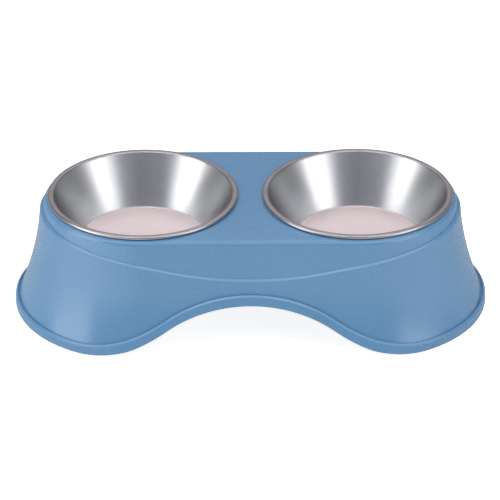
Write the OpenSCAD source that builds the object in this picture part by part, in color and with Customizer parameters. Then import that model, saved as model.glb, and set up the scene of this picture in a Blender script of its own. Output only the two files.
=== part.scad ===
// Double pet bowl: a one-piece moulded stand on four rubber feet,
// with two drawn steel bowls that hang by their rolled rims and lift out.
// The origin is on the floor under the middle, +X runs from bowl to bowl, and the front faces -Y.

/* [Bowls] */
// Outside diameter of the rolled rim
bowl_rim_d = 150; // [146:0.5:156]
// Width of the rim, from the line of the wall's top to the rolled edge
rim_w = 4.4; // [3.4:0.1:6]
// Inside diameter of the floor, where the lines of floor and wall meet
bowl_floor_d = 98; // [88:0.5:108]
// Depth inside, from the top of the rim to the floor
bowl_depth = 39.6; // [30:0.2:50]
// Thickness of the steel sheet
sheet_t = 0.7; // [0.5:0.05:0.9]
// Inside radius between floor and wall
bowl_corner_r = 5; // [2:0.5:9]
// Radius over the edge where the wall turns into the rim
rim_bend_r = 1.5; // [1:0.1:2]
// Thickness of the rolled edge
rim_curl_d = 2.8; // [2.2:0.1:3.2]
// Gap between the rolled edge and the deck that carries it
seat_gap = 0.3; // [0.2:0.05:0.5]

/* [Stand] */
// Gap between the two rims
bowl_spacing = 18.8; // [8:0.2:40]
// Height of the deck above the stand's lower edge
deck_h = 90.8; // [80:0.2:110]
// Thickness of the moulded wall
wall_t = 2.6; // [1.8:0.1:3]
// How far the deck's edge stands outside the rims
deck_margin = 2.6; // [2:0.1:6]
// Radius that rounds the deck's edge
deck_edge_r = 3.8; // [3.2:0.1:5]
// Clearance between a bowl's wall and its opening in the deck
opening_clear = 1.2; // [0.8:0.1:1.6]
// Height of the collar under each opening
collar_h = 6; // [3:0.5:12]
// Thickness of the collar
collar_t = 2; // [1.2:0.1:3]

/* [Wall and lip] */
// How far the wall runs outwards from the deck's edge to the top of the lip
wall_flare = 21.6; // [16:0.2:28]
// Radius of the hollow curve of the wall
flare_r = 245; // [200:5:400]
// How far the lower wall, carried up to the deck, stands outside the deck's edge
shoulder_out = 3.3; // [2.4:0.1:5]
// Height of the lip round the stand's lower edge
lip_h = 8.3; // [6:0.1:11]
// How far the lip stands out of the wall
lip_proud = 3.2; // [2.8:0.1:5]
// How much further out the lip's lower edge is than its upper edge
lip_draft = 0.6; // [0.4:0.1:1.2]

/* [Arch] */
// Height of the arch in the front and back walls
arch_rise = 41.7; // [30:0.1:46]
// Radius of the arch's crown
arch_crown_r = 119.5; // [100:0.5:130]
// Radius of the curve from the arch down to the floor
arch_foot_r = 136.6; // [110:0.2:150]

/* [Ridge] */
// Height of the ridge in the middle of the wall
ridge_h = 59.6; // [56:0.1:66]
// How far the wall steps out at the ridge, in the middle
ridge_step = 2; // [1.4:0.1:2.6]
// Radius of the ridge's dip in the middle
ridge_dip_r = 308; // [250:1:360]
// Radius of the ridge's rise over each end
ridge_end_r = 802; // [700:1:1000]
// Steepest slope of the ridge, in degrees
ridge_angle = 12.2; // [10:0.1:12.4]

/* [Feet] */
// Diameter of a foot's head
foot_d = 12; // [9:0.5:14]
// Thickness of the head
foot_head_h = 2.5; // [1.8:0.1:4]
// How far a foot stands below the stand
foot_proud = 1; // [0.5:0.1:1.5]
// Width of the bevel round the head
foot_bevel = 0.6; // [0.3:0.1:1]
// Diameter of the stem
foot_stem_d = 5; // [3:0.1:7]
// Length of the stem
foot_stem_h = 7; // [4:0.5:12]
// Clearance between a stem and its bore
stem_clear = 0.1; // [0.05:0.05:0.2]
// Wall of the boss round a stem's bore
boss_wall = 3.4; // [2:0.1:4]
// Distance from the wall's face at the lip back to a foot's axis
foot_inset = 7.2; // [6:0.1:9]
// Direction of each foot from its bowl's axis, in degrees off the long axis
foot_angle = 40; // [30:1:45]

/* [Hidden] */
$fn = 128;
long_arc_fn = 720;
arc_steps = 16;
overrun = 5;

// Places along the stand
bowl_x = (bowl_rim_d + bowl_spacing) / 2;
deck_r = bowl_rim_d / 2 + deck_margin;
lip_top_r = deck_r + wall_flare;
base_r = lip_top_r + lip_proud + lip_draft;
end_x = bowl_x + base_r + overrun;

// The flared wall is an arc through the top of the lip and a point level with the deck
flare_run = wall_flare - shoulder_out;
flare_rise = deck_h - lip_h;
flare_chord = sqrt(pow(flare_run, 2) + pow(flare_rise, 2));
flare_reach = sqrt(pow(flare_r, 2) - pow(flare_chord / 2, 2));
flare_x = lip_top_r - flare_run / 2 + flare_reach * flare_rise / flare_chord;
flare_z = lip_h + flare_rise / 2 + flare_reach * flare_run / flare_chord;

// The upper band is a straight slope from the deck's edge to the step at the ridge
ridge_wall_r = flare_x - sqrt(pow(flare_r, 2) - pow(flare_z - ridge_h, 2));
band_angle = atan((ridge_wall_r - ridge_step - deck_r) / (deck_h - ridge_h));
edge_x = deck_r - deck_edge_r * (1 - sin(band_angle)) / cos(band_angle);
edge_z = deck_h - deck_edge_r;

// The lower edge is a crown arc that turns into an arc down to the floor
arch_angle = acos(1 - arch_rise / (arch_crown_r + arch_foot_r));
arch_x = (arch_crown_r + arch_foot_r) * sin(arch_angle);

// The ridge is a dip arc that turns into a long arc over each end
ridge_crest_x = (ridge_dip_r + ridge_end_r) * sin(ridge_angle);
ridge_crest_z = ridge_h + (ridge_dip_r + ridge_end_r) * (1 - cos(ridge_angle));

// The bowl's wall, and the centres of its corner, bend and rolled edge
bowl_floor_r = bowl_floor_d / 2;
bowl_mouth_r = bowl_rim_d / 2 - rim_w;
bowl_wall_angle = atan((bowl_mouth_r - bowl_floor_r) / bowl_depth);
corner_x = bowl_floor_r - bowl_corner_r * (1 - sin(bowl_wall_angle)) / cos(bowl_wall_angle);
bend_z = bowl_depth - rim_bend_r;
bend_x = bowl_floor_r + (rim_bend_r + bend_z * sin(bowl_wall_angle)) / cos(bowl_wall_angle);
curl_r = rim_curl_d / 2;
curl_x = bowl_rim_d / 2 - curl_r;
curl_z = bowl_depth - curl_r;
bowl_floor_z = foot_proud + deck_h + seat_gap + rim_curl_d - bowl_depth;

// The opening clears the bowl's wall at the level of the deck
seat_wall_r = bowl_floor_r + (bowl_depth - rim_curl_d - seat_gap) * tan(bowl_wall_angle)
    + sheet_t / cos(bowl_wall_angle);
opening_r = seat_wall_r + opening_clear;

// The feet stand on a circle round each bowl's axis
foot_reach = lip_top_r - foot_inset;
foot_x = bowl_x + foot_reach * cos(foot_angle);
foot_y = foot_reach * sin(foot_angle);
boss_r = foot_stem_d / 2 + stem_clear + boss_wall;
boss_z = foot_head_h - foot_proud;

// Sweeps a half profile round both ends and along the straight middle
module sweep_round_stand() {
    for (side = [-1, 1])
        translate([side * bowl_x, 0, 0])
            rotate([0, 0, -side * 90])
                rotate_extrude(angle = 180)
                    children();
    translate([-bowl_x, 0, 0])
        rotate([90, 0, 90])
            linear_extrude(height = 2 * bowl_x) {
                children();
                mirror([1, 0]) children();
            }
}

// Runs a front view straight through the stand from front to back
module sweep_front_to_back() {
    translate([0, base_r + overrun, 0])
        rotate([90, 0, 0])
            linear_extrude(height = 2 * (base_r + overrun))
                children();
}

// Half profile inside the flared wall, moved inwards by inset
module wall_profile(inset, drop) {
    difference() {
        translate([0, -drop]) square([flare_x, deck_h + drop]);
        translate([flare_x, flare_z]) circle(r = flare_r + inset, $fn = long_arc_fn);
    }
}

// Half profile inside the lip, moved inwards by inset
module lip_profile(inset, drop) {
    intersection() {
        wall_profile(inset - lip_proud, drop);
        translate([0, -drop]) square([base_r - inset, deck_h + drop]);
    }
}

// Half profile inside the upper band and the deck, moved inwards by inset
module band_profile(inset, drop) {
    corner_r = deck_edge_r - inset;
    low_r = deck_r + (deck_h + drop) * tan(band_angle) - inset / cos(band_angle);
    polygon([
        [0, -drop],
        [low_r, -drop],
        [edge_x + corner_r * cos(band_angle), edge_z + corner_r * sin(band_angle)],
        [edge_x, deck_h - inset],
        [0, deck_h - inset]
    ]);
    translate([edge_x, edge_z]) circle(r = corner_r);
}

// Points along an arc, leaving out as many at each end as skip says
function arc(x, z, r, from, to, skip) = [
    for (i = [skip:arc_steps - skip])
        let (a = from + (to - from) * i / arc_steps)
            [x + r * cos(a), z + r * sin(a)]
];

// Front view of the space under the stand's lower edge, down to drop below the floor
module under_edge(drop) {
    polygon(concat(
        [[-end_x, -drop], [-end_x, 0]],
        arc(-arch_x, arch_foot_r, arch_foot_r, -90, -90 + arch_angle, 0),
        arc(0, arch_rise - arch_crown_r, arch_crown_r, 90 + arch_angle, 90 - arch_angle, 1),
        arc(arch_x, arch_foot_r, arch_foot_r, -90 - arch_angle, -90, 0),
        [[end_x, 0], [end_x, -drop]]
    ));
}

// Front view of everything under the ridge
module under_ridge(drop) {
    end_z = ridge_crest_z - ridge_end_r;
    start = acos((ridge_crest_x - end_x) / ridge_end_r);
    polygon(concat(
        [[-end_x, -drop]],
        arc(-ridge_crest_x, end_z, ridge_end_r, start, 90 - ridge_angle, 0),
        arc(0, ridge_h + ridge_dip_r, ridge_dip_r, -90 - ridge_angle, -90 + ridge_angle, 1),
        arc(ridge_crest_x, end_z, ridge_end_r, 90 + ridge_angle, 180 - start, 0),
        [[end_x, -drop]]
    ));
}

// The stand as a solid, or, moved inwards by the wall, the hollow inside it
module stand_form(inset, drop) {
    sweep_round_stand() band_profile(inset, drop);
    intersection() {
        sweep_round_stand() wall_profile(inset, drop);
        sweep_front_to_back() translate([0, -inset]) under_ridge(drop);
    }
    intersection() {
        sweep_round_stand() lip_profile(inset, drop);
        sweep_front_to_back() translate([0, lip_h - inset]) under_edge(lip_h + drop);
    }
}

// Puts a copy over each foot
module at_feet() {
    for (side = [-1, 1])
        for (end = [-1, 1])
            translate([end * foot_x, side * foot_y, 0])
                children();
}

// Columns inside the wall that the feet plug into
module bosses() {
    intersection() {
        at_feet() translate([0, 0, boss_z]) cylinder(r = boss_r, h = deck_h);
        sweep_round_stand() wall_profile(wall_t / 2, 0);
    }
}

// Rings under the deck that stiffen the openings
module collars() {
    for (side = [-1, 1])
        translate([side * bowl_x, 0, deck_h - wall_t - collar_h])
            cylinder(r = opening_r + collar_t, h = collar_h + wall_t / 2);
}

module stand() {
    color([0.44, 0.6, 0.75])
        translate([0, 0, foot_proud])
            difference() {
                union() {
                    difference() {
                        stand_form(0, 0);
                        stand_form(wall_t, overrun);
                    }
                    bosses();
                    collars();
                }
                sweep_front_to_back() under_edge(overrun);
                for (side = [-1, 1])
                    translate([side * bowl_x, 0, deck_h / 2])
                        cylinder(r = opening_r, h = deck_h);
                at_feet()
                    translate([0, 0, boss_z - overrun])
                        cylinder(d = foot_stem_d + 2 * stem_clear, h = overrun + foot_stem_h + stem_clear);
            }
}

// Half profile of the bowl filled to its top, grown outwards by grow
module cup_profile(grow, rise) {
    corner_r = bowl_corner_r + grow;
    top_r = bowl_mouth_r + rise * tan(bowl_wall_angle) + grow / cos(bowl_wall_angle);
    polygon([
        [0, -grow],
        [corner_x, -grow],
        [corner_x + corner_r * cos(bowl_wall_angle), bowl_corner_r - corner_r * sin(bowl_wall_angle)],
        [top_r, bowl_depth + rise],
        [0, bowl_depth + rise]
    ]);
    intersection() {
        translate([corner_x, bowl_corner_r]) circle(r = corner_r);
        translate([0, -grow]) square([bowl_rim_d, bowl_depth]);
    }
}

// Half profile of what the rounded bend takes off the edge between wall and rim
module bend_profile() {
    difference() {
        polygon([
            [0, bowl_depth + overrun],
            [0, bend_z],
            [bend_x - rim_bend_r * cos(bowl_wall_angle), bend_z + rim_bend_r * sin(bowl_wall_angle)],
            [bend_x, bowl_depth],
            [bend_x, bowl_depth + overrun]
        ]);
        translate([bend_x, bend_z]) circle(r = rim_bend_r);
    }
}

// Half profile of the rolled edge, open on its hidden inner side
module curl_profile() {
    translate([curl_x, curl_z])
        difference() {
            circle(r = curl_r);
            circle(r = curl_r - sheet_t);
            translate([-rim_curl_d, 0]) square([rim_curl_d, curl_r - sheet_t]);
        }
}

module bowl(side) {
    color("silver")
        translate([side * bowl_x, 0, bowl_floor_z])
            rotate_extrude() {
                difference() {
                    union() {
                        cup_profile(sheet_t, 0);
                        translate([0, bowl_depth - sheet_t]) square([curl_x, sheet_t]);
                    }
                    cup_profile(0, overrun);
                    bend_profile();
                }
                curl_profile();
            }
}

module left_bowl() {
    bowl(-1);
}

module right_bowl() {
    bowl(1);
}

module foot(end, side) {
    color("dimgray")
        translate([end * foot_x, side * foot_y, 0]) {
            cylinder(d1 = foot_d - 2 * foot_bevel, d2 = foot_d, h = foot_bevel);
            translate([0, 0, foot_bevel]) cylinder(d = foot_d, h = foot_head_h - foot_bevel);
            translate([0, 0, foot_head_h - foot_bevel])
                cylinder(d = foot_stem_d, h = foot_stem_h + foot_bevel);
        }
}

module foot_front_left() {
    foot(-1, -1);
}

module foot_front_right() {
    foot(1, -1);
}

module foot_rear_left() {
    foot(-1, 1);
}

module foot_rear_right() {
    foot(1, 1);
}

stand();
left_bowl();
right_bowl();
foot_front_left();
foot_front_right();
foot_rear_left();
foot_rear_right();
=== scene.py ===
# Looks of the double pet bowl: a moulded blue stand, two spun steel bowls and four rubber feet.
from math import acos, atan, atan2, cos, hypot, pi, radians, sin, sqrt, tan

import bmesh
import bpy
from mathutils import Matrix, Vector


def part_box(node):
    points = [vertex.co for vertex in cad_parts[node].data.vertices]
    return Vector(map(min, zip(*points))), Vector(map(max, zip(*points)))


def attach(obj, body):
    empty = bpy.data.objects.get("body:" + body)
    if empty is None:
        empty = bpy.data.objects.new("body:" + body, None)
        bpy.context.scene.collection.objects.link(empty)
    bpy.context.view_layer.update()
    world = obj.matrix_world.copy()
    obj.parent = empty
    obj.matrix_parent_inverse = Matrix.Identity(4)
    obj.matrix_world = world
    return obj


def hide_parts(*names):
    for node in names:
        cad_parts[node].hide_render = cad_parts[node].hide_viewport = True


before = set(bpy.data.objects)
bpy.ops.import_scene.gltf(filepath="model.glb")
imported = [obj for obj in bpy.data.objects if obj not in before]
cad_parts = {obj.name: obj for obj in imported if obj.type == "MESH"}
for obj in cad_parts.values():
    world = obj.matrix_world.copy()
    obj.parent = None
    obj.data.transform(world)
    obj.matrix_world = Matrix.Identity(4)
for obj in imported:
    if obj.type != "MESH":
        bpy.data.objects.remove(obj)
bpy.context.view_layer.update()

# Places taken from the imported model, in metres
bowl_lo, bowl_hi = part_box("right_bowl")
stand_lo, stand_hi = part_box("stand")
foot_lo, foot_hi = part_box("foot_rear_right")
BOWL_X = (bowl_lo.x + bowl_hi.x) / 2
RIM_R = (bowl_hi.x - bowl_lo.x) / 2
RIM_Z = bowl_hi.z
STAND_Z = stand_lo.z
DECK_H = stand_hi.z - stand_lo.z
BASE_R = stand_hi.x - BOWL_X
FOOT_X = (foot_lo.x + foot_hi.x) / 2
FOOT_Y = (foot_lo.y + foot_hi.y) / 2
FOOT_R = (foot_hi.x - foot_lo.x) / 2
FOOT_H = foot_hi.z

# Signs of the mirrored places, along X and along Y
LEFT = -1
RIGHT = 1
FRONT = -1
REAR = 1

# Sizes of the stand
WALL_T = 0.0026
DECK_MARGIN = 0.0026
DECK_EDGE_R = 0.0038
OPENING_CLEAR = 0.0012
COLLAR_H = 0.006
COLLAR_T = 0.002
WALL_FLARE = 0.0216
FLARE_R = 0.245
SHOULDER_OUT = 0.0033
LIP_H = 0.0083
LIP_PROUD = 0.0032
ARCH_RISE = 0.0417
ARCH_CROWN_R = 0.1195
ARCH_FOOT_R = 0.1366
RIDGE_H = 0.0596
RIDGE_STEP = 0.002
RIDGE_DIP_R = 0.308
RIDGE_END_R = 0.802
RIDGE_ANGLE = radians(12.2)

# Small rounds and slopes of the moulding
RIDGE_CHAMFER = 0.0014
RIDGE_COVE_R = 0.0003
RIDGE_ROUND_R = 0.0006
GROOVE_DEPTH = 0.0019
GROOVE_W = 0.0016
GROOVE_R = 0.0005
CREST_R = 0.0003
LIP_CHAMFER = 0.0013
LIP_ROUND_R = 0.0008
EDGE_ROUND_R = 0.0007
ROOF_ROUND_R = 0.0008
OPENING_ROUND_R = 0.0008
COLLAR_ROUND_R = 0.0004
FLAT_STRIP = 0.0002

# Sizes of the bosses and feet
BOSS_WALL = 0.0034
STEM_R = 0.0025
STEM_CLEAR = 0.0001
FOOT_HEAD_H = 0.0025
FOOT_BEVEL = 0.0006
FOOT_ROUND_R = 0.0003

# Sizes of the bowls; the corner round the floor is tighter than on the solid bowls
RIM_W = 0.0044
FLOOR_R = 0.049
BOWL_DEPTH = 0.0396
SHEET_T = 0.0007
CORNER_R = 0.0022
BEND_R = 0.0015
CURL_R = 0.0014
SEAT_GAP = 0.0003

# How finely the meshes follow their curves, and the angle from which an edge stays sharp
STRAIGHT_STEPS = 72
END_STEPS = 108
WALL_STEPS = 22
ROUND_STEPS = 6
CURL_STEPS = 20
LATHE_STEPS = 192
BOSS_STEPS = 48
SETTLE_STEPS = 8
SHARP_ANGLE = radians(40)

# Worked out from the sizes, as on the solid stand
DECK_R = RIM_R + DECK_MARGIN
LIP_TOP_R = DECK_R + WALL_FLARE
FLARE_RUN = WALL_FLARE - SHOULDER_OUT
FLARE_RISE = DECK_H - LIP_H
FLARE_CHORD = hypot(FLARE_RUN, FLARE_RISE)
FLARE_REACH = sqrt(FLARE_R**2 - (FLARE_CHORD / 2) ** 2)
FLARE_X = LIP_TOP_R - FLARE_RUN / 2 + FLARE_REACH * FLARE_RISE / FLARE_CHORD
FLARE_Z = LIP_H + FLARE_RISE / 2 + FLARE_REACH * FLARE_RUN / FLARE_CHORD
RIDGE_WALL_R = FLARE_X - sqrt(FLARE_R**2 - (FLARE_Z - RIDGE_H) ** 2)
BAND_SLOPE = (RIDGE_WALL_R - RIDGE_STEP - DECK_R) / (DECK_H - RIDGE_H)
ARCH_ANGLE = acos(1 - ARCH_RISE / (ARCH_CROWN_R + ARCH_FOOT_R))
ARCH_TURN_X = ARCH_CROWN_R * sin(ARCH_ANGLE)
ARCH_X = (ARCH_CROWN_R + ARCH_FOOT_R) * sin(ARCH_ANGLE)
RIDGE_TURN_X = RIDGE_DIP_R * sin(RIDGE_ANGLE)
RIDGE_CREST_X = (RIDGE_DIP_R + RIDGE_END_R) * sin(RIDGE_ANGLE)
RIDGE_CREST_H = RIDGE_H + (RIDGE_DIP_R + RIDGE_END_R) * (1 - cos(RIDGE_ANGLE))
MOUTH_R = RIM_R - RIM_W
BOWL_ANGLE = atan((MOUTH_R - FLOOR_R) / BOWL_DEPTH)
CURL_X = RIM_R - CURL_R
CURL_Z = BOWL_DEPTH - CURL_R
BOWL_SEAT_R = FLOOR_R + (CURL_Z - CURL_R - SEAT_GAP) * tan(BOWL_ANGLE) + SHEET_T / cos(BOWL_ANGLE)
OPENING_R = BOWL_SEAT_R + OPENING_CLEAR
UNDER_DECK_H = DECK_H - WALL_T
BORE_R = STEM_R + STEM_CLEAR
BORE_TOP = FOOT_H + STEM_CLEAR - STAND_Z
BOSS_R = BORE_R + BOSS_WALL
BOSS_Z = FOOT_HEAD_H - STAND_Z


def wall_radius(z, inset=0.0):
    """Distance of the flared wall from the middle line at a height."""
    return FLARE_X - sqrt((FLARE_R + inset) ** 2 - (FLARE_Z - z) ** 2)


def wall_height(r, inset):
    """Height of the flared wall at a distance from the middle line."""
    return FLARE_Z - sqrt((FLARE_R + inset) ** 2 - (FLARE_X - r) ** 2)


def band_radius(z, inset=0.0):
    """Distance of the band between deck and ridge."""
    return DECK_R + (DECK_H - z) * BAND_SLOPE - inset * sqrt(1 + BAND_SLOPE**2)


def lip_radius(z, inset=0.0):
    """Distance of the lip, which stands proud of the wall and ends upright at the base."""
    return min(wall_radius(z, inset - LIP_PROUD), BASE_R - inset)


def edge_height(x):
    """The stand's lower edge: a crown arc that turns into an arc down to the floor."""
    x = abs(x)
    if x < ARCH_TURN_X:
        return ARCH_RISE - ARCH_CROWN_R + sqrt(ARCH_CROWN_R**2 - x**2)
    if x < ARCH_X:
        return ARCH_FOOT_R - sqrt(ARCH_FOOT_R**2 - (ARCH_X - x) ** 2)
    return 0.0


def ridge_height(x):
    """The ridge: a dip in the middle that turns into a long arc over each end."""
    x = abs(x)
    if x < RIDGE_TURN_X:
        return RIDGE_H + RIDGE_DIP_R - sqrt(RIDGE_DIP_R**2 - x**2)
    return RIDGE_CREST_H - RIDGE_END_R + sqrt(RIDGE_END_R**2 - (RIDGE_CREST_X - x) ** 2)


def arc(centre, radius, start, turn, steps):
    """Points round a centre, from the angle start through the angle turn."""
    angles = [start + turn * i / steps for i in range(steps + 1)]
    return [centre + radius * Vector((cos(a), sin(a))) for a in angles]


def rounded(corners):
    """A line through (r, z, radius) corners, rounded at each corner that has a radius."""
    line = []
    for i, (r, z, radius) in enumerate(corners):
        here = Vector((r, z))
        if not radius:
            line.append(here)
            continue
        back = (Vector(corners[i - 1][:2]) - here).normalized()
        ahead = (Vector(corners[i + 1][:2]) - here).normalized()
        half = back.angle(ahead) / 2
        centre = here + (back + ahead).normalized() * radius / sin(half)
        first = here + back * radius / tan(half) - centre
        last = here + ahead * radius / tan(half) - centre
        start = atan2(first.y, first.x)
        turn = (atan2(last.y, last.x) - start + pi) % (2 * pi) - pi
        line += arc(centre, radius, start, turn, ROUND_STEPS)
    return line


def stand_section(mid, angle):
    """The wall's section out from a point on the middle line: from the deck's top down outside,
    round the lower edge, and up inside to the deck's underside."""

    def meet(radius, height, inset=0.0, rise=0.0):
        """Where a face meets a height that runs straight from front to back."""
        z = rise
        for _ in range(SETTLE_STEPS):
            z = height(mid + radius(z, inset) * cos(angle)) + rise
        return radius(z, inset), z

    def wall(top, bottom, inset=0.0):
        heights = [top + (bottom - top) * i / WALL_STEPS for i in range(WALL_STEPS + 1)]
        return [(wall_radius(z, inset), z, 0) for z in heights]

    ridge_z = meet(wall_radius, ridge_height)[1]
    shelf_z = meet(wall_radius, edge_height, 0, LIP_H)[1]
    roof_z = meet(wall_radius, edge_height, WALL_T, LIP_H - WALL_T)[1]
    vault_z = meet(wall_radius, ridge_height, WALL_T, -WALL_T)[1]
    band_z = ridge_z + RIDGE_CHAMFER
    lip_r, lip_z = meet(lip_radius, edge_height, 0, LIP_H)
    return rounded([
        (DECK_R - DECK_EDGE_R - FLAT_STRIP, DECK_H, 0),
        (DECK_R, DECK_H, DECK_EDGE_R),
        (band_radius(band_z), band_z, RIDGE_COVE_R),
        (wall_radius(ridge_z) - RIDGE_CHAMFER, band_z, RIDGE_COVE_R),
        (wall_radius(ridge_z), ridge_z, RIDGE_ROUND_R),
        *wall(ridge_z - 2 * RIDGE_ROUND_R, shelf_z + GROOVE_DEPTH),
        (wall_radius(shelf_z - GROOVE_DEPTH), shelf_z - GROOVE_DEPTH, GROOVE_R),
        (wall_radius(shelf_z) + GROOVE_W, shelf_z + (lip_z - shelf_z) * GROOVE_W / LIP_PROUD, CREST_R),
        (lip_r - LIP_CHAMFER, lip_z, CREST_R),
        (lip_r, lip_z - LIP_CHAMFER, LIP_ROUND_R),
        (*meet(lip_radius, edge_height), EDGE_ROUND_R),
        (*meet(lip_radius, edge_height, WALL_T), EDGE_ROUND_R),
        (*meet(lip_radius, edge_height, WALL_T, LIP_H - WALL_T), ROOF_ROUND_R),
        (wall_radius(roof_z, WALL_T), roof_z, ROOF_ROUND_R),
        *wall(roof_z + 2 * ROOF_ROUND_R, vault_z - 2 * ROOF_ROUND_R, WALL_T),
        (wall_radius(vault_z, WALL_T), vault_z, ROOF_ROUND_R),
        (*meet(band_radius, ridge_height, WALL_T, -WALL_T), ROOF_ROUND_R),
        (band_radius(UNDER_DECK_H, WALL_T), UNDER_DECK_H, DECK_EDGE_R - WALL_T),
        (DECK_R - DECK_EDGE_R - FLAT_STRIP, UNDER_DECK_H, 0),
    ])


def stations():
    """Where the sections stand: points on the middle line, and the angle out from each."""
    places = []
    for side, turn in ((RIGHT, -pi / 2), (LEFT, pi / 2)):
        for i in range(END_STEPS):
            places.append((side * BOWL_X, turn + pi * i / END_STEPS))
        for i in range(STRAIGHT_STEPS):
            places.append((side * BOWL_X * (1 - 2 * i / STRAIGHT_STEPS), turn + pi))
    return places


def add_rings(bm, sections):
    """Skins closed rings of points, one section after another, and gives the first and last ring."""
    rows = [[bm.verts.new(p) for p in section] for section in sections]
    for here, there in zip(rows, rows[1:] + rows[:1]):
        for i in range(len(here) - 1):
            bm.faces.new((here[i], here[i + 1], there[i + 1], there[i]))
    return [row[0] for row in rows], [row[-1] for row in rows]


def fill_flat(bm, rings):
    """Fills the flat face inside the first ring and outside the others."""
    edges = [bm.edges.get((ring[i - 1], ring[i])) for ring in rings for i in range(len(ring))]
    bmesh.ops.triangle_fill(bm, use_beauty=True, use_dissolve=False, edges=edges)


def finish_mesh(bm, name):
    """Turns the faces outwards, smooths them but for sharp edges, and makes the object."""
    bmesh.ops.recalc_face_normals(bm, faces=bm.faces)
    for face in bm.faces:
        face.smooth = True
    for edge in bm.edges:
        edge.smooth = edge.calc_face_angle(0) < SHARP_ANGLE
    mesh = bpy.data.meshes.new(name)
    bm.to_mesh(mesh)
    bm.free()
    piece = bpy.data.objects.new(name, mesh)
    bpy.context.scene.collection.objects.link(piece)
    return piece


def lathe(bm, line, x=0.0):
    """Spins a line of (r, z) points round an upright axis; its ends lie on the axis or are left open."""
    sections = []
    for i in range(LATHE_STEPS):
        a = 2 * pi * i / LATHE_STEPS
        sections.append([(x + r * cos(a), r * sin(a), z) for r, z in line])
    rings = add_rings(bm, sections)
    poles = [v for ring, (r, z) in zip(rings, (line[0], line[-1])) if r == 0 for v in ring]
    bmesh.ops.remove_doubles(bm, verts=poles, dist=FLAT_STRIP / 2)
    return rings


def make_stand_shell():
    """The hollow moulding, with a collar under the deck round each opening."""
    bm = bmesh.new()
    sections = []
    for mid, angle in stations():
        line = stand_section(mid, angle)
        sections.append([(mid + r * cos(angle), r * sin(angle), z + STAND_Z) for r, z in line])
    top, bottom = add_rings(bm, sections)
    collar_z = UNDER_DECK_H - COLLAR_H
    collar = rounded([
        (OPENING_R + OPENING_ROUND_R + FLAT_STRIP, DECK_H, 0),
        (OPENING_R, DECK_H, OPENING_ROUND_R),
        (OPENING_R, collar_z, COLLAR_ROUND_R),
        (OPENING_R + COLLAR_T, collar_z, COLLAR_ROUND_R),
        (OPENING_R + COLLAR_T, UNDER_DECK_H, 0),
    ])
    line = [(r, z + STAND_Z) for r, z in collar]
    holes = [lathe(bm, line, side * BOWL_X) for side in (LEFT, RIGHT)]
    fill_flat(bm, [top, holes[0][0], holes[1][0]])
    fill_flat(bm, [bottom, holes[0][1], holes[1][1]])
    return finish_mesh(bm, "stand_shell")


def boss_sections(mid_x, mid_y):
    """Sections round a boss: from inside the wall down its side, in to the bore, and up the bore."""
    sections = []
    for i in range(BOSS_STEPS):
        a = 2 * pi * i / BOSS_STEPS
        x = mid_x + BOSS_R * cos(a)
        y = mid_y + BOSS_R * sin(a)
        top = wall_height(hypot(abs(x) - BOWL_X, y), WALL_T / 2)
        bore_x = mid_x + BORE_R * cos(a)
        bore_y = mid_y + BORE_R * sin(a)
        sections.append([
            (x, y, top + STAND_Z),
            (x, y, BOSS_Z + STAND_Z),
            (bore_x, bore_y, BOSS_Z + STAND_Z),
            (bore_x, bore_y, BORE_TOP + STAND_Z),
        ])
    return sections


def make_bosses():
    """Columns up into the wall, with a blind bore each for a foot's stem."""
    bm = bmesh.new()
    for row in (FRONT, REAR):
        for side in (LEFT, RIGHT):
            for ring in add_rings(bm, boss_sections(side * FOOT_X, row * FOOT_Y)):
                bm.faces.new(ring)
    return finish_mesh(bm, "bosses")


def make_stand():
    """The shell and its bosses joined into one moulding."""
    stand = make_stand_shell()
    bosses = make_bosses()
    union = stand.modifiers.new("bosses", "BOOLEAN")
    union.operation = "UNION"
    union.solver = "EXACT"
    union.object = bosses
    bpy.context.view_layer.update()
    joined = stand.evaluated_get(bpy.context.evaluated_depsgraph_get())
    bm = bmesh.new()
    bm.from_mesh(joined.to_mesh())
    joined.to_mesh_clear()
    for part in (stand, bosses):
        bpy.data.objects.remove(part)
    stand = finish_mesh(bm, "stand_moulding")
    stand.modifiers.new("normals", "WEIGHTED_NORMAL").keep_sharp = True
    stand.data.materials.append(blue_plastic())
    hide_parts("stand")
    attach(stand, "stand")


def bowl_line():
    """Half section of the drawn sheet: floor, wall, rim and rolled edge, then back underneath."""

    def wall(z, grow):
        return FLOOR_R + z * tan(BOWL_ANGLE) + grow / cos(BOWL_ANGLE)

    curl = Vector((CURL_X, CURL_Z))
    inside = rounded([
        (0, 0, 0),
        (FLOOR_R, 0, CORNER_R),
        (MOUTH_R, BOWL_DEPTH, BEND_R),
        (CURL_X - FLAT_STRIP, BOWL_DEPTH, 0),
    ])
    outside = rounded([
        (CURL_X - FLAT_STRIP, BOWL_DEPTH - SHEET_T, 0),
        (wall(BOWL_DEPTH - SHEET_T, SHEET_T), BOWL_DEPTH - SHEET_T, BEND_R - SHEET_T),
        (wall(-SHEET_T, SHEET_T), -SHEET_T, CORNER_R + SHEET_T),
        (0, -SHEET_T, 0),
    ])
    roll = arc(curl, CURL_R, pi / 2, -3 * pi / 2, CURL_STEPS)
    back = arc(curl, CURL_R - SHEET_T, -pi, 3 * pi / 2, CURL_STEPS)
    return inside + roll + back + outside


# A bowl's finishes, in the order in which its mesh holds their materials
WALL_FINISH = 0
FLOOR_FINISH = 1
RIM_FINISH = 2

# How far up a face points, from 0 to 1, where the floor's finish starts, and where its painted corner
# shade gives way to the whole floor colour
FLOOR_START = 0.6
FLOOR_WHOLE = 0.99


def bowl_finish(face):
    """Which finish a face has: the rim's above and outside, the floor's low inside, or the wall's."""
    if face.center.z > BOWL_DEPTH - BEND_R or face.center.xy.length > RIM_R - 2 * CURL_R:
        return RIM_FINISH
    if face.center.z < CORNER_R and face.normal.z > FLOOR_START:
        return FLOOR_FINISH
    return WALL_FINISH


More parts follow.
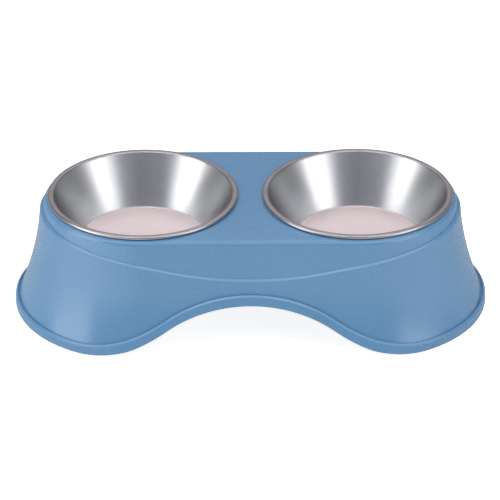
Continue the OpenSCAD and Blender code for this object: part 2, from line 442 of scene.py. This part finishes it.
def make_bowl(name, side):
    bm = bmesh.new()
    lathe(bm, bowl_line())
    bowl = finish_mesh(bm, name + "_spun")
    bowl.location = (side * BOWL_X, 0, RIM_Z - BOWL_DEPTH)
    bowl.modifiers.new("normals", "WEIGHTED_NORMAL").keep_sharp = True
    for material in (spun_steel(), drawn_steel(), rim_steel()):
        bowl.data.materials.append(material)
    for face in bowl.data.polygons:
        face.material_index = bowl_finish(face)
    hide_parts(name)
    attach(bowl, name)


def make_foot(name, side, row):
    """A rubber foot: a low head with a bevelled lower edge, and a stem up into its boss."""
    bm = bmesh.new()
    lathe(bm, rounded([
        (0, 0, 0),
        (FOOT_R - FOOT_BEVEL, 0, FOOT_ROUND_R),
        (FOOT_R, FOOT_BEVEL, FOOT_ROUND_R),
        (FOOT_R, FOOT_HEAD_H, FOOT_ROUND_R),
        (STEM_R, FOOT_HEAD_H, FOOT_ROUND_R),
        (STEM_R, FOOT_H, FOOT_ROUND_R),
        (0, FOOT_H, 0),
    ]))
    foot = finish_mesh(bm, name + "_rubber")
    foot.location = (side * FOOT_X, row * FOOT_Y, 0)
    foot.data.materials.append(foot_rubber())
    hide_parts(name)
    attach(foot, "stand")


# Where a Mix node keeps its colour sockets
MIX_FIRST = 6
MIX_SECOND = 7
MIX_RESULT = 2

# How finely a noise pattern is broken up, and the middle range in which its values lie
NOISE_DETAIL = 3.0
NOISE_START = 0.3
NOISE_END = 0.7

# Takes the height out of a place
FLATTEN = (1, 1, 0)


class Nodes:
    """Short ways to add nodes to a shader tree and to link them."""

    def __init__(self, tree):
        self.tree = tree

    def feed(self, socket, value):
        """Gives a socket a fixed value, or links another node's output to it."""
        if isinstance(value, bpy.types.NodeSocket):
            self.tree.links.new(value, socket)
        else:
            socket.default_value = value

    def node(self, kind, inputs=(), **settings):
        node = self.tree.nodes.new(kind)
        for key, value in settings.items():
            setattr(node, key, value)
        for key, value in dict(inputs).items():
            self.feed(node.inputs[key], value)
        return node

    def maths(self, operation, *values):
        return self.node("ShaderNodeMath", dict(enumerate(values)), operation=operation).outputs["Value"]

    def vector(self, operation, *values):
        node = self.node("ShaderNodeVectorMath", dict(enumerate(values)), operation=operation)
        return node.outputs["Value" if operation == "LENGTH" else "Vector"]

    def split(self, vector):
        """A vector's X, Y and Z."""
        return self.node("ShaderNodeSeparateXYZ", {"Vector": vector}).outputs

    def ramp(self, value, start, end, low=0.0, high=1.0, curve="SMOOTHSTEP"):
        """Runs from low to high while the value runs from start to end."""
        inputs = {"Value": value, "From Min": start, "From Max": end, "To Min": low, "To Max": high}
        return self.node("ShaderNodeMapRange", inputs, interpolation_type=curve).outputs["Result"]

    def mix(self, share, first, second):
        """A colour between two others, each a socket or an (r, g, b)."""
        colours = [c if isinstance(c, bpy.types.NodeSocket) else (*c, 1) for c in (first, second)]
        inputs = {0: share, MIX_FIRST: colours[0], MIX_SECOND: colours[1]}
        return self.node("ShaderNodeMix", inputs, data_type="RGBA").outputs[MIX_RESULT]


class Shader(Nodes):
    """A material with a Principled shader, and patterns that follow the piece's own coordinates."""

    def __init__(self, name, metallic=0.0):
        self.material = bpy.data.materials.new(name)
        self.material.use_nodes = True
        super().__init__(self.material.node_tree)
        self.bsdf = self.tree.nodes["Principled BSDF"]
        self.set("Metallic", metallic)
        self.place = self.node("ShaderNodeTexCoord").outputs["Object"]

    def set(self, socket, value):
        self.feed(self.bsdf.inputs[socket], value)

    def noise(self, place, scale, detail=NOISE_DETAIL):
        inputs = {"Vector": place, "Scale": scale, "Detail": detail}
        return self.node("ShaderNodeTexNoise", inputs).outputs["Fac"]

    def span(self, noise, low=0.0, high=1.0):
        """Turns a noise pattern into values from low to high."""
        return self.ramp(noise, NOISE_START, NOISE_END, low, high, "LINEAR")

    def bump(self, height, strength, distance):
        inputs = {"Height": height, "Strength": strength, "Distance": distance}
        return self.node("ShaderNodeBump", inputs).outputs["Normal"]


# Blue plastic: colours, gloss, and the scales and depth of its pattern
PLASTIC_BLUE = (0.135, 0.308, 0.532)
PLASTIC_PALE = (0.144, 0.324, 0.555)
PLASTIC_SPECULAR = 0.65
PLASTIC_ROUGHNESS = (0.23, 0.29)
PLASTIC_CLOUD_SCALE = 14.0
PLASTIC_GRAIN_SCALE = 1800.0
PLASTIC_GRAIN_STRENGTH = 0.05
PLASTIC_GRAIN_DEPTH = 0.00008


def blue_plastic():
    """Satin moulded plastic: a fine even grain, and a faint broad unevenness in its colour."""
    shader = Shader("satin_blue_plastic")
    cloud = shader.noise(shader.place, PLASTIC_CLOUD_SCALE)
    grain = shader.noise(shader.place, PLASTIC_GRAIN_SCALE)
    shader.set("Specular IOR Level", PLASTIC_SPECULAR)
    shader.set("Base Color", shader.mix(shader.span(cloud), PLASTIC_BLUE, PLASTIC_PALE))
    shader.set("Roughness", shader.span(grain, *PLASTIC_ROUGHNESS))
    shader.set("Normal", shader.bump(grain, PLASTIC_GRAIN_STRENGTH, PLASTIC_GRAIN_DEPTH))
    return shader.material


# Spun walls: colours, their tint at grazing angles, gloss, how far it stretches across the lines
# and how it is turned, and the scales and depth of the pattern
SPUN_GREY = (0.66, 0.67, 0.685)
SPUN_PALE = (0.70, 0.71, 0.725)
SPUN_EDGE = (0.3, 0.3, 0.3, 1)
SPUN_ROUGHNESS = (0.32, 0.36)
SPUN_STRETCH = 0.2
SPUN_TURN = 0.25
SPUN_CLOUD_SCALE = 35.0
SPUN_LINE_SCALE = 2500.0
SPUN_LINE_RING_R = 0.0008
SPUN_LINE_STRENGTH = 0.015
SPUN_LINE_DEPTH = 0.00004


def spun_steel():
    """Steel with fine lines all round from spinning, and faint cloudiness."""
    shader = Shader("spun_steel", metallic=1.0)
    tangent = shader.node("ShaderNodeTangent", direction_type="RADIAL", axis="Z").outputs["Tangent"]
    flat = shader.vector("MULTIPLY", shader.place, FLATTEN)
    along = shader.maths("ADD", shader.vector("LENGTH", flat), shader.split(shader.place)["Z"])
    lift = shader.node("ShaderNodeCombineXYZ", {"Z": along}).outputs["Vector"]
    ring = shader.vector("MULTIPLY", shader.vector("NORMALIZE", flat), (SPUN_LINE_RING_R,) * 3)
    lines = shader.noise(shader.vector("ADD", lift, ring), SPUN_LINE_SCALE)
    cloud = shader.noise(shader.place, SPUN_CLOUD_SCALE)
    shader.set("Tangent", tangent)
    shader.set("Anisotropic", SPUN_STRETCH)
    shader.set("Anisotropic Rotation", SPUN_TURN)
    shader.set("Specular Tint", SPUN_EDGE)
    shader.set("Base Color", shader.mix(shader.span(cloud), SPUN_GREY, SPUN_PALE))
    shader.set("Roughness", shader.span(lines, *SPUN_ROUGHNESS))
    shader.set("Normal", shader.bump(lines, SPUN_LINE_STRENGTH, SPUN_LINE_DEPTH))
    return shader.material


# Rolled rim: colours, gloss and the scale of its pattern
RIM_GREY = (0.50, 0.467, 0.485)
RIM_PALE = (0.54, 0.506, 0.525)
RIM_ROUGHNESS = (0.27, 0.33)
RIM_CLOUD_SCALE = 60.0


def rim_steel():
    """The rolled rim, polished smoother than the walls."""
    shader = Shader("rim_steel", metallic=1.0)
    cloud = shader.noise(shader.place, RIM_CLOUD_SCALE)
    shader.set("Base Color", shader.mix(shader.span(cloud), RIM_GREY, RIM_PALE))
    shader.set("Roughness", shader.span(cloud, *RIM_ROUGHNESS))
    return shader.material


# Drawn floor and the corner round it: colours, with painted shade for the corner, gloss, and the scales
# and depth of the pattern
FLOOR_GREY = (0.96, 0.845, 0.845)
FLOOR_PALE = (0.99, 0.875, 0.875)
CORNER_SHADE_GREY = (0.50, 0.49, 0.50)
FLOOR_ROUGHNESS = (0.60, 0.68)
FLOOR_CLOUD_SCALE = 45.0
FLOOR_GRAIN_SCALE = 1500.0
FLOOR_GRAIN_DETAIL = 2.0
FLOOR_GRAIN_STRENGTH = 0.05
FLOOR_GRAIN_DEPTH = 0.00003


def drawn_steel():
    """The bowls' floors: matt and slightly cloudy as drawn, with painted shade that greys the corner as
    it turns up.
    """
    shader = Shader("drawn_steel", metallic=1.0)
    cloud = shader.noise(shader.place, FLOOR_CLOUD_SCALE)
    grain = shader.noise(shader.place, FLOOR_GRAIN_SCALE, FLOOR_GRAIN_DETAIL)
    floor = shader.mix(shader.span(cloud), FLOOR_GREY, FLOOR_PALE)
    normal = shader.node("ShaderNodeNewGeometry").outputs["Normal"]
    # Painted shade: the colour greys towards the corner as the face turns up from the floor
    level = shader.ramp(shader.split(normal)["Z"], FLOOR_START, FLOOR_WHOLE)
    shader.set("Base Color", shader.mix(level, CORNER_SHADE_GREY, floor))
    shader.set("Roughness", shader.span(cloud, *FLOOR_ROUGHNESS))
    shader.set("Normal", shader.bump(grain, FLOOR_GRAIN_STRENGTH, FLOOR_GRAIN_DEPTH))
    return shader.material


# Rubber of the feet: colours, gloss, and the scale and depth of its pattern
RUBBER_DARK = (0.022, 0.022, 0.024)
RUBBER_DUST = (0.045, 0.045, 0.047)
RUBBER_ROUGHNESS = (0.62, 0.8)
RUBBER_DUST_SCALE = 300.0
RUBBER_DUST_STRENGTH = 0.2
RUBBER_DUST_DEPTH = 0.0002


def foot_rubber():
    """Dark matt rubber with a trace of dust."""
    shader = Shader("foot_rubber")
    dust = shader.noise(shader.place, RUBBER_DUST_SCALE)
    shader.set("Base Color", shader.mix(shader.span(dust), RUBBER_DARK, RUBBER_DUST))
    shader.set("Roughness", shader.span(dust, *RUBBER_ROUGHNESS))
    shader.set("Normal", shader.bump(dust, RUBBER_DUST_STRENGTH, RUBBER_DUST_DEPTH))
    return shader.material


# The camera, fitted to the photograph: angles in degrees, and the lens in millimetres
CAMERA_ELEVATION = 28.64
CAMERA_ROLL = -0.22
CAMERA_DISTANCE = 3.0
CAMERA_TARGET = Vector((-0.0003, 0.0, 0.0428))
CAMERA_LENS = 272.2

# Softboxes: azimuth, elevation, distance, width, height and brightness
LIGHT_TARGET = Vector((0, 0, 0.08))
LAMP_COLOUR = (1.0, 0.99, 0.975)
SOFTBOXES = {
    "softbox_left": (-67, 12, 1.3, 0.8, 0.68, 3.2),
    "softbox_right": (57, 16, 1.4, 0.84, 0.64, 3.2),
    "softbox_high_left": (-42, 58, 1.4, 1.0, 0.5, 2.75),
    "softbox_high_right": (42, 58, 1.4, 1.0, 0.5, 2.6),
    "softbox_side_left": (-84, 46, 1.4, 0.6, 0.45, 3.4),
    "softbox_side_right": (83, 46, 1.4, 0.6, 0.45, 1.7),
    "softbox_high_back": (180, 52, 1.4, 0.8, 0.6, 1.6),
    "softbox_above": (0, 86, 1.2, 0.8, 0.4, 1.3),
}

# The floor, and how much white is added to it in the camera's view
FLOOR_SIZE = 8.0
FLOOR_COLOUR = (0.8, 0.8, 0.8, 1)
FLOOR_LIFT = 0.88

# Painted reflection: how white glossy faces see the floor, in front of the object and to its
# left and right, how far out it changes from one to the other, and where towards the rear it fades
SHINE_FRONT = 0.25
SHINE_LEFT = 1.0
SHINE_RIGHT = 0.4
SHINE_INNER = 0.08
SHINE_OUTER = 0.4
SHINE_REAR_START = -0.1
SHINE_REAR_END = 0.05

# Painted shadow in those reflections: the oval round the object where they see no white at all, and how
# far from it that fades in
SHADOW_OVAL_SHAPE = (0.55, 1, 0)
SHADOW_OVAL_START = 0.12
SHADOW_OVAL_END = 0.28

# What lights the object evenly, what its glossy faces see of the studio in front, beside and
# behind, and how far the direction has to turn backwards or sideways for that
WHITE = (1, 1, 1)
FILL = (0.10, 0.10, 0.11)
STUDIO_FRONT = (0.03, 0.04, 0.08)
STUDIO_SIDE = (0.20, 0.20, 0.21)
STUDIO_BACK = (0.34, 0.32, 0.33)
BACK_START = 0.3
BACK_END = 0.9
SIDE_START = 0.7
SIDE_END = 1.0


def direction(azimuth, elevation):
    """Unit vector towards a place round the object; azimuth 0 is in front and 90 is to the right."""
    a, e = radians(azimuth), radians(elevation)
    return Vector((sin(a) * cos(e), -cos(a) * cos(e), sin(e)))


def make_camera():
    camera = bpy.data.objects.new("camera", bpy.data.cameras.new("camera"))
    camera.data.lens = CAMERA_LENS
    camera.location = CAMERA_TARGET + direction(0, CAMERA_ELEVATION) * CAMERA_DISTANCE
    tilt = Matrix.Rotation(radians(90 - CAMERA_ELEVATION), 3, "X")
    roll = Matrix.Rotation(radians(CAMERA_ROLL), 3, "Z")
    camera.rotation_euler = (tilt @ roll).to_euler()
    bpy.context.scene.collection.objects.link(camera)
    bpy.context.scene.camera = camera


def make_softbox(name, azimuth, elevation, distance, width, height, brightness):
    light = bpy.data.lights.new(name, "AREA")
    light.shape = "RECTANGLE"
    light.size = width
    light.size_y = height
    light.energy = brightness * pi * width * height
    light.color = LAMP_COLOUR
    lamp = bpy.data.objects.new(name, light)
    lamp.location = LIGHT_TARGET + direction(azimuth, elevation) * distance
    lamp.rotation_euler = (LIGHT_TARGET - lamp.location).to_track_quat("-Z", "Y").to_euler()
    lamp.visible_camera = False
    bpy.context.scene.collection.objects.link(lamp)


def pale_floor():
    """White to the camera where no shadow lies on it, and a painted reflection in glossy faces, with a
    painted shadow round the object.
    """
    material = bpy.data.materials.new("pale_floor")
    material.use_nodes = True
    nodes = Nodes(material.node_tree)
    nodes.tree.nodes.remove(nodes.tree.nodes["Principled BSDF"])
    path = nodes.node("ShaderNodeLightPath").outputs
    place = nodes.node("ShaderNodeTexCoord").outputs["Object"]
    x, y, _ = nodes.split(place)
    # Painted reflection: the floor glows for glossy rays, brightest to the left of the object
    left = nodes.ramp(x, -SHINE_INNER, -SHINE_OUTER, 0.0, SHINE_LEFT - SHINE_FRONT)
    right = nodes.ramp(x, SHINE_INNER, SHINE_OUTER, SHINE_FRONT, SHINE_RIGHT)
    front = nodes.ramp(y, SHINE_REAR_END, SHINE_REAR_START)
    # Painted shadow: no glossy glow within the oval round the object
    away = nodes.vector("LENGTH", nodes.vector("MULTIPLY", place, SHADOW_OVAL_SHAPE))
    unshadowed_front = nodes.maths("MULTIPLY", front, nodes.ramp(away, SHADOW_OVAL_START, SHADOW_OVAL_END))
    level = nodes.maths("MULTIPLY", nodes.maths("ADD", left, right), unshadowed_front)
    shine = nodes.maths("MULTIPLY", path["Is Glossy Ray"], level)
    lift = nodes.maths("MULTIPLY_ADD", path["Is Camera Ray"], FLOOR_LIFT, shine)
    matt = nodes.node("ShaderNodeBsdfDiffuse", {"Color": FLOOR_COLOUR}).outputs["BSDF"]
    glow = nodes.node("ShaderNodeEmission", {"Strength": lift}).outputs["Emission"]
    both = nodes.node("ShaderNodeAddShader", {0: matt, 1: glow}).outputs["Shader"]
    nodes.feed(nodes.tree.nodes["Material Output"].inputs["Surface"], both)
    return material


def make_floor():
    bm = bmesh.new()
    half = FLOOR_SIZE / 2
    corners = ((-half, -half), (half, -half), (half, half), (-half, half))
    bm.faces.new([bm.verts.new((x, y, 0)) for x, y in corners])
    floor = finish_mesh(bm, "floor")
    floor.data.materials.append(pale_floor())


def make_world():
    """White behind the object, and a dim studio round it for what the steel reflects."""
    world = bpy.data.worlds.new("studio")
    bpy.context.scene.world = world
    world.use_nodes = True
    nodes = Nodes(world.node_tree)
    path = nodes.node("ShaderNodeLightPath").outputs
    x, y, _ = nodes.split(nodes.node("ShaderNodeTexCoord").outputs["Generated"])
    behind = nodes.ramp(y, BACK_START, BACK_END)
    beside = nodes.ramp(nodes.maths("ABSOLUTE", x), SIDE_START, SIDE_END)
    studio = nodes.mix(behind, nodes.mix(beside, STUDIO_FRONT, STUDIO_SIDE), STUDIO_BACK)
    glossy = nodes.mix(path["Is Glossy Ray"], FILL, studio)
    seen = nodes.mix(path["Is Camera Ray"], glossy, WHITE)
    nodes.feed(nodes.tree.nodes["Background"].inputs["Color"], seen)


bpy.context.scene.view_settings.view_transform = "Standard"
make_camera()
make_stand()
for side, name in ((LEFT, "left_bowl"), (RIGHT, "right_bowl")):
    make_bowl(name, side)
for row, row_name in ((FRONT, "front"), (REAR, "rear")):
    for side, side_name in ((LEFT, "left"), (RIGHT, "right")):
        make_foot(f"foot_{row_name}_{side_name}", side, row)
for name, place in SOFTBOXES.items():
    make_softbox(name, *place)
make_floor()
make_world()
